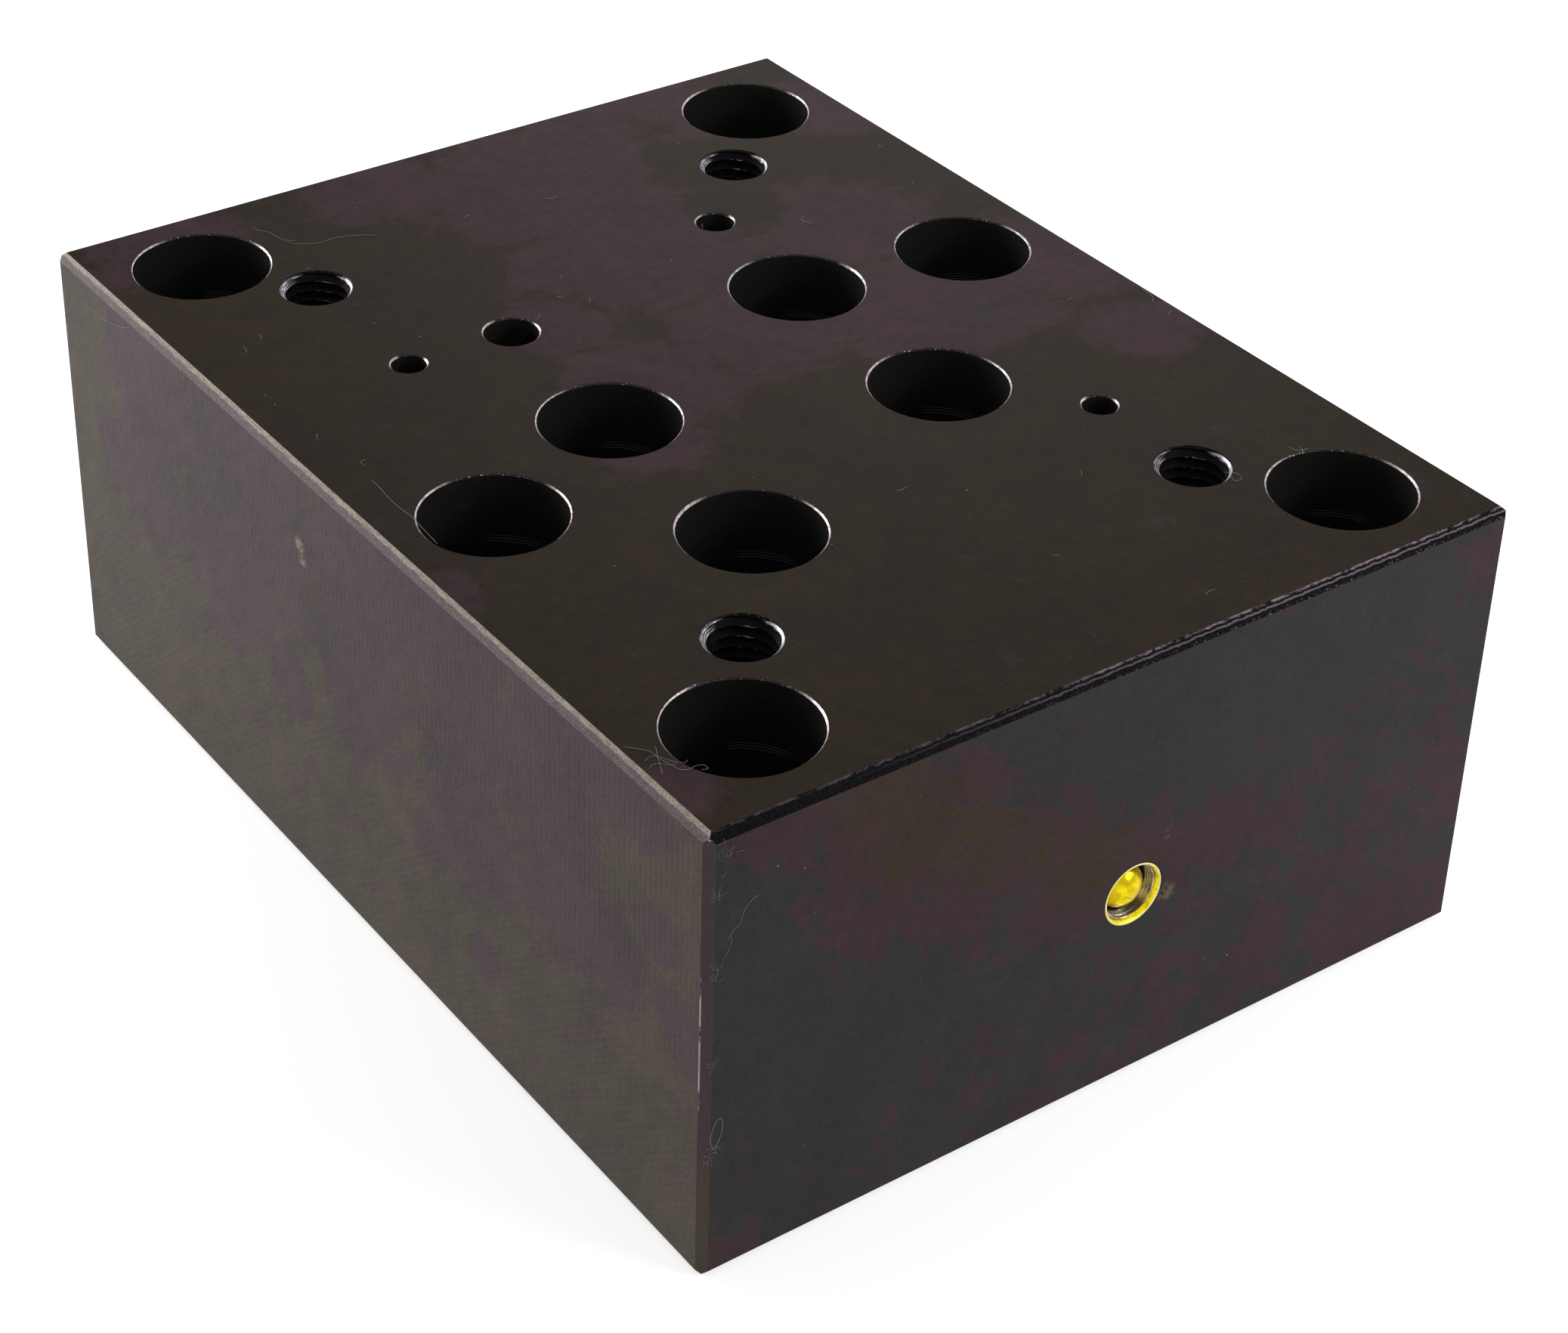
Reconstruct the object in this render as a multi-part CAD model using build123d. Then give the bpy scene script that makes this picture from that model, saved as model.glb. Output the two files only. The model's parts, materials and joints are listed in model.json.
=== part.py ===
"""Hydraulic adaptor manifold block: carries an NG16 (ISO 4401-07) valve on an NG25 (ISO 4401-08) subplate.

Frame: origin at the centre of the underside, +X across the block, +Y along it, +Z up to the valve face.
Every standard pattern is given as (along, across) from its own first bolt hole, along +Y and across +X.
"""

from build123d import *
import math
import os

# Block
BLOCK_WIDTH = 122.0
BLOCK_LENGTH = 160.0
BLOCK_HEIGHT = 65.0
EDGE_CHAMFER = 1.1

# Drilling practice
POINT_ANGLE = 118.0  # included angle of a twist drill's point
OVERSHOOT = 1.0  # how far a cutting solid starts outside the face it enters

# Subplate side: ISO 4401-08 bolt holes for M12 socket head screws, let in from above
SUBPLATE_BOLT_LENGTH = 130.2
SUBPLATE_BOLT_WIDTH = 92.1
SUBPLATE_MIDDLE_BOLTS = [(53.2, 0.0), (77.0, 92.1)]
BOLT_CLEARANCE_D = 13.0
BOLT_HEAD_HEIGHT = 12.0
BOLT_HEAD_SINK = 2.0  # the head lies this far below the valve face
COUNTERBORE_D = 19.0

# Subplate side: ports with a recess for an O-ring around each
SUBPLATE_MAIN_PORTS = {"P": (77.0, 17.5), "T": (29.4, 17.5), "A": (53.2, 74.6), "B": (100.8, 74.6)}
SUBPLATE_PILOT_PORTS = {"X": (17.5, 73.0), "Y": (112.7, 19.0)}
SUBPLATE_MAIN_D = 23.4
SUBPLATE_PILOT_D = 11.2
SUBPLATE_MAIN_DEPTH = 34.0
SUBPLATE_B_DEPTH = 20.0
SUBPLATE_PILOT_DEPTH = 10.0
SUBPLATE_PINS = [(94.5, -4.8), (29.4, 92.1)]
SUBPLATE_PIN_D = 6.0
SUBPLATE_PIN_DEPTH = 8.0

# O-rings of the subplate side
RING_CORD_D = 3.0
MAIN_RING_INNER_D = 27.0
PILOT_RING_INNER_D = 19.0
RING_RECESS_DEPTH = 2.4
RING_RECESS_ROOM = 0.5  # recess radius beyond the ring's free outer radius

# Valve side: ISO 4401-07 pattern, and where it sits on the subplate pattern
VALVE_OFFSET_ALONG = 14.5
VALVE_OFFSET_ACROSS = 10.15
VALVE_BOLT_LENGTH = 101.6
VALVE_BOLT_WIDTH = 69.9
VALVE_MAIN_PORTS = {"P": (50.0, 14.3), "T": (18.3, 14.3), "A": (34.1, 55.6), "B": (65.9, 55.6)}
VALVE_X_PORT = (76.6, 15.9)
VALVE_Y_PORT = (88.1, 57.2)
VALVE_MAIN_D = 18.9
VALVE_X_D = 7.6
VALVE_Y_D = 5.5
VALVE_MAIN_DEPTH = 43.0
VALVE_B_DEPTH = 35.0
VALVE_X_DEPTH = 9.0
VALVE_Y_DEPTH = 14.0
VALVE_PINS = [(76.6, 0.0), (18.3, 69.9)]
VALVE_PIN_D = 4.8
VALVE_PIN_DEPTH = 8.0

# Tapped holes for the valve's M10 screws, modelled at their tapping size
TAPPING_D = 8.5
TAPPING_DEPTH = 25.0
TAPPING_RIM_D = 10.2

# Inner drillings
B_LINK_D = 14.5  # slanting drilling between the two B ports
B_LINK_TOP_Z = 38.0
GALLERY_D = 7.0
X_GALLERY_ACROSS = 2.5  # the long X gallery, from the block's middle plane
X_GALLERY_Z = 29.5
PILOT_LINK_D = 4.5  # slanting drillings of the pilot passages

# Expander plug that closes the gallery's mouth
PLUG_D = 9.0
PLUG_LENGTH = 8.6
PLUG_LIP = 0.4  # flat end face around the sleeve's mouth
PLUG_MOUTH_DEPTH = 0.5
PLUG_MOUTH_TAPER = 0.3
PLUG_FLOOR = 1.1
BALL_D = 6.8
BALL_TOP_DEPTH = 0.1
BALL_CLEARANCE = 0.02

Z_AXIS = Vector(0, 0, 1)
IN_FROM_TOP = Vector(0, 0, -1)
IN_FROM_BOTTOM = Vector(0, 0, 1)
IN_FROM_FRONT = Vector(0, 1, 0)
ON_BASE = (Align.CENTER, Align.CENTER, Align.MIN)


def subplate_point(place, z=0.0):
    """A point of the subplate pattern, which is centred on the block."""
    along, across = place
    return Vector(across - SUBPLATE_BOLT_WIDTH / 2, along - SUBPLATE_BOLT_LENGTH / 2, z)


def valve_point(place, z=BLOCK_HEIGHT):
    """A point of the valve pattern, which is set off from the subplate pattern's first bolt hole."""
    along, across = place
    return subplate_point((along + VALVE_OFFSET_ALONG, across + VALVE_OFFSET_ACROSS), z)


def bolt_corners(length, width):
    """The four corners of a bolt pattern as (along, across)."""
    return [(along, across) for along in (0.0, length) for across in (0.0, width)]


def rod(start, direction, diameter, length):
    """A plain cylinder from a point along a direction."""
    return Plane(origin=start, z_dir=direction) * Cylinder(diameter / 2, length, align=ON_BASE)


def drilling(mouth, direction, diameter, depth):
    """A blind drilled hole with its drill point, starting a little outside the face."""
    point_height = diameter / 2 / math.tan(math.radians(POINT_ANGLE / 2))
    start = mouth - direction * OVERSHOOT
    tip = Plane(origin=mouth + direction * depth, z_dir=direction) * Cone(
        diameter / 2, 0.0, point_height, align=ON_BASE
    )
    return rod(start, direction, diameter, depth + OVERSHOOT) + tip


def link(mouth, end, diameter):
    """A slanting drilling from the middle of a port's mouth to a point on another passage's axis."""
    path = end - mouth
    direction = path.normalized()
    run_in = diameter / 2
    return rod(mouth - direction * run_in, direction, diameter, path.length + run_in)


def bolt_hole(place):
    """A through hole for a subplate screw, with the counterbore that takes its head."""
    top = subplate_point(place, BLOCK_HEIGHT)
    bottom = subplate_point(place)
    head_depth = BOLT_HEAD_HEIGHT + BOLT_HEAD_SINK
    through = rod(bottom - Z_AXIS * OVERSHOOT, Z_AXIS, BOLT_CLEARANCE_D, BLOCK_HEIGHT + 2 * OVERSHOOT)
    counterbore = rod(top - Z_AXIS * head_depth, Z_AXIS, COUNTERBORE_D, head_depth + OVERSHOOT)
    return through + counterbore


def tapped_hole(place):
    """A hole for one of the valve's screws, countersunk to just over the thread."""
    mouth = valve_point(place)
    sink = (TAPPING_RIM_D - TAPPING_D) / 2
    countersink = Plane(origin=mouth, z_dir=IN_FROM_TOP) * Cone(
        TAPPING_RIM_D / 2, TAPPING_D / 2, sink, align=ON_BASE
    )
    return drilling(mouth, IN_FROM_TOP, TAPPING_D, TAPPING_DEPTH) + countersink


def ring_recess(place, ring_inner_d):
    """The flat-bottomed recess around a subplate port."""
    radius = ring_inner_d / 2 + RING_CORD_D + RING_RECESS_ROOM
    start = subplate_point(place, -OVERSHOOT)
    return rod(start, IN_FROM_BOTTOM, 2 * radius, RING_RECESS_DEPTH + OVERSHOOT)


def main_passages():
    """The P, T, A and B ports of both faces: three pairs run into each other, B has a slanting link."""
    cuts = []
    for name, place in VALVE_MAIN_PORTS.items():
        depth = VALVE_B_DEPTH if name == "B" else VALVE_MAIN_DEPTH
        cuts.append(drilling(valve_point(place), IN_FROM_TOP, VALVE_MAIN_D, depth))
    for name, place in SUBPLATE_MAIN_PORTS.items():
        depth = SUBPLATE_B_DEPTH if name == "B" else SUBPLATE_MAIN_DEPTH
        cuts.append(drilling(subplate_point(place), IN_FROM_BOTTOM, SUBPLATE_MAIN_D, depth))
        cuts.append(ring_recess(place, MAIN_RING_INNER_D))
    b_top = valve_point(VALVE_MAIN_PORTS["B"], B_LINK_TOP_Z)
    cuts.append(link(subplate_point(SUBPLATE_MAIN_PORTS["B"]), b_top, B_LINK_D))
    return cuts


def x_passage():
    """Pilot X: both ports have a slanting drilling down or up to the long gallery from the front face."""
    valve_port = valve_point(VALVE_X_PORT)
    subplate_port = subplate_point(SUBPLATE_PILOT_PORTS["X"])
    near_end = Vector(X_GALLERY_ACROSS, subplate_port.Y, X_GALLERY_Z)
    far_end = Vector(X_GALLERY_ACROSS, valve_port.Y, X_GALLERY_Z)
    return [
        drilling(valve_port, IN_FROM_TOP, VALVE_X_D, VALVE_X_DEPTH),
        link(valve_port, far_end, PILOT_LINK_D),
        drilling(gallery_mouth(), IN_FROM_FRONT, GALLERY_D, far_end.Y - gallery_mouth().Y),
        link(subplate_port, near_end, PILOT_LINK_D),
        drilling(subplate_port, IN_FROM_BOTTOM, SUBPLATE_PILOT_D, SUBPLATE_PILOT_DEPTH),
        ring_recess(SUBPLATE_PILOT_PORTS["X"], PILOT_RING_INNER_D),
    ]


def y_passage():
    """Pilot Y: one long slanting drilling from the subplate port meets the end of the valve port."""
    valve_port = valve_point(VALVE_Y_PORT)
    subplate_port = subplate_point(SUBPLATE_PILOT_PORTS["Y"])
    return [
        drilling(valve_port, IN_FROM_TOP, VALVE_Y_D, VALVE_Y_DEPTH),
        link(subplate_port, valve_port + IN_FROM_TOP * VALVE_Y_DEPTH, PILOT_LINK_D),
        drilling(subplate_port, IN_FROM_BOTTOM, SUBPLATE_PILOT_D, SUBPLATE_PILOT_DEPTH),
        ring_recess(SUBPLATE_PILOT_PORTS["Y"], PILOT_RING_INNER_D),
    ]


def gallery_mouth():
    """Where the X gallery enters the front face."""
    return Vector(X_GALLERY_ACROSS, -BLOCK_LENGTH / 2, X_GALLERY_Z)


def blank():
    """The sawn and milled blank: every edge is chamfered on its own pass, so three chamfers meet in a point."""
    box = Box(BLOCK_WIDTH, BLOCK_LENGTH, BLOCK_HEIGHT, align=ON_BASE)
    passes = [chamfer(box.edges().filter_by(axis), EDGE_CHAMFER) for axis in (Axis.X, Axis.Y, Axis.Z)]
    return passes[0] & passes[1] & passes[2]


def manifold_block():
    """The machined block with every hole and passage."""
    body = blank()
    cuts = main_passages() + x_passage() + y_passage()
    corners = bolt_corners(SUBPLATE_BOLT_LENGTH, SUBPLATE_BOLT_WIDTH)
    cuts += [bolt_hole(place) for place in corners + SUBPLATE_MIDDLE_BOLTS]
    cuts += [tapped_hole(place) for place in bolt_corners(VALVE_BOLT_LENGTH, VALVE_BOLT_WIDTH)]
    for place in VALVE_PINS:
        cuts.append(drilling(valve_point(place), IN_FROM_TOP, VALVE_PIN_D, VALVE_PIN_DEPTH))
    for place in SUBPLATE_PINS:
        cuts.append(drilling(subplate_point(place), IN_FROM_BOTTOM, SUBPLATE_PIN_D, SUBPLATE_PIN_DEPTH))
    plug_start = gallery_mouth() - IN_FROM_FRONT * OVERSHOOT
    cuts.append(rod(plug_start, IN_FROM_FRONT, PLUG_D, PLUG_LENGTH + OVERSHOOT))
    for cut in cuts:
        body -= cut
    return body


def plug_sleeve():
    """The plug's cup: lip, tapered mouth, wall narrowing to the ball's seat, closed floor."""
    radius = PLUG_D / 2
    seat_radius = BALL_D / 2 + BALL_CLEARANCE
    seat_depth = BALL_TOP_DEPTH + BALL_D / 2
    lip_radius = radius - PLUG_LIP
    profile = Polyline(
        (0, PLUG_LENGTH),
        (radius, PLUG_LENGTH),
        (radius, 0),
        (lip_radius, 0),
        (lip_radius - PLUG_MOUTH_TAPER, PLUG_MOUTH_DEPTH),
        (seat_radius, seat_depth),
        (seat_radius, PLUG_LENGTH - PLUG_FLOOR),
        (0, PLUG_LENGTH - PLUG_FLOOR),
        close=True,
    )
    section = Plane.XZ * make_face(profile)
    return Plane(origin=gallery_mouth(), z_dir=IN_FROM_FRONT) * revolve(section, Axis.Z)


def plug_ball():
    """The ball that was pressed in to spread the cup."""
    centre = gallery_mouth() + IN_FROM_FRONT * (BALL_TOP_DEPTH + BALL_D / 2)
    return Pos(centre) * Sphere(BALL_D / 2)


def o_ring(place, inner_d):
    """An O-ring squeezed flush with the underside, in a plain section of the free cord's area."""
    middle_d = inner_d + RING_CORD_D
    section_width = math.pi * RING_CORD_D**2 / 4 / RING_RECESS_DEPTH
    outside = rod(subplate_point(place), IN_FROM_BOTTOM, middle_d + section_width, RING_RECESS_DEPTH)
    inside = rod(subplate_point(place), IN_FROM_BOTTOM, middle_d - section_width, RING_RECESS_DEPTH)
    return outside - inside


def save(name, solid):
    """Write one piece under its name."""
    export_step(solid, os.path.join("parts", f"{name}.step"))


def main():
    os.makedirs("parts", exist_ok=True)
    save("manifold_block", manifold_block())
    save("gallery_plug_sleeve", plug_sleeve())
    save("gallery_plug_ball", plug_ball())
    for name, place in SUBPLATE_MAIN_PORTS.items():
        save(f"o_ring_{name.lower()}", o_ring(place, MAIN_RING_INNER_D))
    for name, place in SUBPLATE_PILOT_PORTS.items():
        save(f"o_ring_{name.lower()}", o_ring(place, PILOT_RING_INNER_D))


main()
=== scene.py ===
"""Looks of the manifold block: dark phosphated steel with worn edges, threads, a bright plug and dust.

Meshes are in metres in the block's own frame: origin at the centre of the underside, +X across, +Y along,
+Z up. Finishes, and the places of hairs, are in millimetres in the same frame.
"""

import bpy
import bmesh
import json
import math
import random
from mathutils import Matrix, Vector


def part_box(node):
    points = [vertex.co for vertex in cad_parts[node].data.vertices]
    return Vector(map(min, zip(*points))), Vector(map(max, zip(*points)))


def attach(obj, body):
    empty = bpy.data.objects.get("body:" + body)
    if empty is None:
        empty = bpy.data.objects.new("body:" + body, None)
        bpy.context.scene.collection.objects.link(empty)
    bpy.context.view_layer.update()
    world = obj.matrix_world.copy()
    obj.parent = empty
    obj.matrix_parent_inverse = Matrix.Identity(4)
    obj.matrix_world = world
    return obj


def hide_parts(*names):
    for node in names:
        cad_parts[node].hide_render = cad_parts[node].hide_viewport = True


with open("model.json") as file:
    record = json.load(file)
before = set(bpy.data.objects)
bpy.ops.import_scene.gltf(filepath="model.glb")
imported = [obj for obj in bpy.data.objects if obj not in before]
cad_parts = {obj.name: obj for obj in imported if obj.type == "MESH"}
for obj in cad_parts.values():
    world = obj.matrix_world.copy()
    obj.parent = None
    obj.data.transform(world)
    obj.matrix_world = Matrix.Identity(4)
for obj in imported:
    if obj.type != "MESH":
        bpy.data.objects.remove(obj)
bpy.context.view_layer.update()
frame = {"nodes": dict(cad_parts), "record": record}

MM = 0.001
SEED = 7

# Camera
CAMERA_PLACE = Vector((-228.43, -316.33, 288.92)) * MM
CAMERA_TARGET = Vector((15.6, 20.85, 32.5)) * MM
CAMERA_ROLL = math.radians(1.419)
CAMERA_LENS = 78.189
CAMERA_SHIFT = (0.025, -0.12)

# Edge breaks and threads
RIM_BREAK = 0.19 * MM  # worn edge at the mouth of a plain hole
RIM_WANDER = 0.07 * MM
COUNTERSINK_RADIUS = 5.1 * MM
THREAD_PITCH = 1.5 * MM
THREAD_MINOR_RADIUS = 4.25 * MM
THREAD_MAJOR_RADIUS = 5.0 * MM
THREAD_DEPTH = 20.0 * MM
THREAD_HOLE_DEPTH = 25.0 * MM
FINE_THREAD_DEPTH = 7.5 * MM
FINE_STEP = 0.1 * MM
COARSE_STEP = 0.2 * MM
THREAD_SEGMENTS = 88
DRILL_POINT_SLOPE = math.tan(math.radians(59.0))
COLUMN_DEPTH = 32.0 * MM  # deeper than any tapped hole
CHAMFER_REACH = 1.2 * MM  # just over the width of the block's chamfers
SAME_PLACE = 1e-6  # metres
BLOCK_SHARP_ANGLE = math.radians(24)
TURNED_SHARP_ANGLE = math.radians(32)

# Plug and O-rings
BALL_CLEARANCE = 0.02 * MM
PLUG_FLOOR = 1.1 * MM
RING_HALF_SECTION = 1.47 * MM  # half the width of a squeezed O-ring's plain section
RING_HALF_WIDTH = 1.6 * MM  # a little more, as the rounded sides make up the same section

# Lint
LINT_LIFT = 0.09 * MM
LOOSE_HAIRS = 34
HAIR_FREE = 12.0  # no loose hair starts nearer to the middle of a hole, in millimetres

# How light each finish is, and the level direction that the sides of the rims with painted highlights face
TOP_LEVEL = 0.8
LEFT_LEVEL = 0.71
FRONT_LEVEL = 0.88
PLAIN_SIDE_LEVEL = 1.1
ACROSS = (0.808, -0.588, 0.0)

# Floor and light
FLOOR_REACH = 4.0
FLOOR_GAP = 0.05 * MM  # keeps the floor just under the block's underside
FLOOR_GREY = 0.8
FLOOR_GLOW = 0.6  # brings the open floor to white, and leaves the shadow under the block
WORLD_STRENGTH = 0.4

# Colours as red, green, blue from 0 to 255
OLIVE_BROWN = (47, 37, 27)
PURPLE_BROWN = (64, 46, 50)
FRONT_OLIVE_BROWN = (60, 49, 36)
NEUTRAL_GREY = (50, 50, 50)
LIT_WARM_GREY = (92, 81, 70)
LIT_PURPLE_GREY = (86, 71, 75)
BORE_SHADED_BLACK = (27, 26, 25)
WORN_SILVER_AND_HIGHLIGHT = (222, 208, 212)
COUNTERSINK_LILAC = (236, 226, 236)
PLUG_YELLOW = (238, 214, 6)
PLUG_PALE_YELLOW = (232, 222, 100)
RUBBER_BLACK = (22, 22, 23)
LINT_PALE = (186, 190, 184)
DUST_PALE = (176, 168, 158)
STAIN_PALE = (176, 166, 140)
SMUDGE_OLIVE = (70, 62, 44)
GAP_SHADOW_BLACK = (8, 6, 10)
SMEAR_OLIVE = (120, 118, 84)
FILED_LIGHT = (168, 156, 142)
FILED_DARK = (112, 96, 100)
EDGE_BLACK = (8, 8, 9)
EDGE_DARK_GREY = (25, 26, 28)
EDGE_BRIGHT = (146, 128, 140)
EDGE_PURPLE = (80, 67, 71)
EDGE_OLIVE = (84, 75, 67)
EDGE_LINE = (214, 200, 200)


def linear(colour):
    """The linear colour, with alpha, of a display colour given from 0 to 255."""
    channels = [c / 255 for c in colour]
    channels = [c / 12.92 if c <= 0.04045 else ((c + 0.055) / 1.055) ** 2.4 for c in channels]
    return (*channels, 1.0)


# Materials


class Finish:
    """A procedural material on a Principled shader, in the block's own coordinates in millimetres."""

    def __init__(self, name, roughness, metallic=0.0, specular=0.5):
        self.material = bpy.data.materials.new(name)
        self.material.use_nodes = True
        self.tree = self.material.node_tree
        self.shader = self.tree.nodes["Principled BSDF"]
        self.shader.inputs["Roughness"].default_value = roughness
        self.shader.inputs["Metallic"].default_value = metallic
        self.shader.inputs["Specular IOR Level"].default_value = specular
        place = self.node("ShaderNodeTexCoord").outputs["Object"]
        self.place = self.vector("SCALE", place, scale=1 / MM)
        split = self.node("ShaderNodeSeparateXYZ", {0: self.place})
        self.x, self.y, self.z = split.outputs
        self.normal = self.node("ShaderNodeNewGeometry").outputs["Normal"]

    def node(self, kind, inputs=None, **settings):
        made = self.tree.nodes.new(kind)
        for setting, value in settings.items():
            setattr(made, setting, value)
        for socket, value in (inputs or {}).items():
            if isinstance(value, bpy.types.NodeSocket):
                self.tree.links.new(value, made.inputs[socket])
            else:
                made.inputs[socket].default_value = value
        return made

    def vector(self, operation, first, second=None, scale=None):
        inputs = {0: first}
        if second is not None:
            inputs[1] = second
        if scale is not None:
            inputs["Scale"] = scale
        made = self.node("ShaderNodeVectorMath", inputs, operation=operation)
        return made.outputs["Value" if operation in ("DISTANCE", "DOT_PRODUCT") else "Vector"]

    def math(self, operation, first, second=0.0):
        return self.node("ShaderNodeMath", {0: first, 1: second}, operation=operation).outputs[0]

    def over(self, operation, values):
        """One operation taken over several values in turn."""
        result = values[0]
        for value in values[1:]:
            result = self.math(operation, result, value)
        return result

    def times(self, *values):
        return self.over("MULTIPLY", values)

    def add(self, *values):
        return self.over("ADD", values)

    def most(self, *values):
        return self.over("MAXIMUM", values)

    def least(self, *values):
        return self.over("MINIMUM", values)

    def minus(self, first, second):
        return self.math("SUBTRACT", first, second)

    def away(self, point):
        """The distance from a point in millimetres."""
        return self.vector("DISTANCE", self.place, point)

    def looking(self, direction):
        """The cosine between the surface's normal and a direction."""
        return self.vector("DOT_PRODUCT", self.normal, direction)

    def slanted_place(self):
        """The place, turned by 45 degrees on an upright side."""
        downhill = self.vector("DOT_PRODUCT", self.place, (0.707, 0.707, -0.707))
        uphill = self.vector("DOT_PRODUCT", self.place, (0.707, 0.707, 0.707))
        return self.node("ShaderNodeCombineXYZ", {1: downhill, 2: uphill}).outputs[0]

    def between(self, value, low, high, to_low=0.0, to_high=1.0):
        """A value that goes smoothly from to_low to to_high as the input goes from low to high."""
        inputs = {0: value, 1: low, 2: high, 3: to_low, 4: to_high}
        return self.node("ShaderNodeMapRange", inputs, interpolation_type="SMOOTHSTEP").outputs[0]

    def noise(self, size, detail=3.0, roughness=0.55, stretch=(1, 1, 1), distortion=0.0, at=(0, 0, 0),
              place=None):
        """Noise whose features are about size millimetres across, longer along a stretched axis."""
        moved = self.vector("ADD", place or self.place, at)
        shrunk = self.vector("DIVIDE", moved, stretch)
        inputs = {
            "Vector": shrunk, "Scale": 1 / size, "Detail": detail, "Roughness": roughness,
            "Distortion": distortion,
        }
        return self.node("ShaderNodeTexNoise", inputs).outputs["Fac"]

    def specks(self, spacing, radius, share):
        """Small sparse dots: one in each cell of the spacing, kept in a share of the cells."""
        inputs = {"Vector": self.place, "Scale": 1 / spacing}
        cells = self.node("ShaderNodeTexVoronoi", inputs, feature="F1")
        dot = self.between(cells.outputs["Distance"], radius / spacing, 0.6 * radius / spacing)
        pick = self.node("ShaderNodeSeparateColor", {0: cells.outputs["Color"]}).outputs[0]
        return self.times(dot, self.math("LESS_THAN", pick, share))

    def lines(self, value, pitch, wobble=0.0, wobble_size=20.0):
        """Parallel lines a pitch apart in millimetres, where the value is a distance, from 0 to 1."""
        if wobble:
            value = self.add(value, self.times(self.noise(wobble_size, 2.0), wobble))
        turn = self.times(value, 2 * math.pi / pitch)
        return self.add(self.times(self.math("SINE", turn), 0.5), 0.5)

    def spot(self, centre, inner, outer):
        """1 within inner millimetres of a point, fading to 0 at outer."""
        return self.between(self.away(centre), inner, outer, 1.0, 0.0)

    def zones(self, places, plane, at):
        """A field on a face that is 1 near some places and fades to 0.

        Each place is its two coordinates on the face, and its reach.
        """
        spots = []
        for first, second, reach in places:
            centre = [first, second]
            centre.insert(plane, at)
            spots.append(self.spot(centre, 0.25 * reach, 1.35 * reach))
        return self.most(*spots)

    def facing(self, direction, low, high):
        """1 where the surface looks along a direction or against it, 0 where it looks square to it."""
        return self.between(self.math("ABSOLUTE", self.looking(direction)), low, high)

    def mix(self, factor, first, second, blend="MIX"):
        made = self.node("ShaderNodeMix", data_type="RGBA", blend_type=blend)
        for index, value in ((0, factor), (6, first), (7, second)):
            if isinstance(value, bpy.types.NodeSocket):
                self.tree.links.new(value, made.inputs[index])
            elif isinstance(value, tuple):
                made.inputs[index].default_value = linear(value)
            else:
                made.inputs[index].default_value = value
        return made.outputs[2]

    def varied(self, level, *parts):
        """A level that varies: each part is a noise and how strongly it lightens and darkens."""
        total = level
        for noise, amount in parts:
            total = self.add(total, self.times(self.minus(noise, 0.5), amount * level))
        return total

    def shade(self, colour, value):
        """The colour made lighter or darker by a factor that varies over the surface."""
        grey = self.node("ShaderNodeCombineColor", {0: value, 1: value, 2: value}).outputs[0]
        return self.mix(1.0, colour, grey, blend="MULTIPLY")

    def dusted(self, colour, coarse, fine, fine_amount, amount):
        """The colour with two sizes of dust on it, each given as specks takes it."""
        dust = self.most(self.specks(*coarse), self.times(self.specks(*fine), fine_amount))
        return self.mix(self.times(dust, amount), colour, DUST_PALE)

    def colour(self, value):
        self.tree.links.new(value, self.shader.inputs["Base Color"])

    def roughness(self, value):
        self.tree.links.new(value, self.shader.inputs["Roughness"])

    def metallic(self, value):
        self.tree.links.new(value, self.shader.inputs["Metallic"])

    def bump(self, height, distance):
        """Raise the surface by a height that is 0 to 1, where 1 is a distance in millimetres."""
        inputs = {"Height": height, "Distance": distance * MM, "Strength": 1.0}
        made = self.node("ShaderNodeBump", inputs)
        self.tree.links.new(made.outputs[0], self.shader.inputs["Normal"])


# Where each face turns purple or olive, as two coordinates on the face and a reach
TOP_PURPLE = [
    (-47, 70, 15), (-14, 72, 13), (9, 60, 24), (32, 72, 18), (6, 36, 20), (-14, 24, 9), (36, 28, 16),
    (-12, 4, 15), (8, 8, 15), (32, 0, 20), (54, 4, 16), (52, -20, 10), (-20, -8, 9), (-59, -70, 7),
    (-60, -24, 6), (58, 60, 12),
]
TOP_OLIVE = [
    (-46, 46, 22), (30, 56, 9), (-44, 12, 18), (18, -40, 30), (-30, -50, 30), (30, 68, 6), (28, 38, 7),
]
LEFT_PURPLE = [
    (-76, 34, 6), (-70, 46, 5), (-66, 61, 7), (-62, 36, 8), (-50, 58, 14), (-48, 42, 14), (-28, 54, 18),
    (-30, 36, 12), (-8, 58, 16), (-4, 40, 13), (14, 52, 14), (28, 56, 17), (32, 40, 14), (52, 56, 15),
    (54, 41, 12), (66, 40, 6), (-20, 26, 5), (-32, 16, 4), (16, 30, 6),
]
FRONT_PURPLE = [
    (-50, 62, 8), (-38, 60, 12), (-36, 50, 15), (-26, 54, 10), (-22, 43, 14), (-10, 44, 8), (-8, 36, 13),
    (6, 34, 10), (16, 33, 9), (24, 30, 6), (44, 4, 13), (58, 6, 10), (26, 12, 7), (-58, 3, 6), (60, 60, 8),
]
FRONT_OLIVE = [(-39, 62, 8), (-32, 54, 9), (-22, 48, 8), (-14, 44, 5), (-5, 37, 8)]


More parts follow.
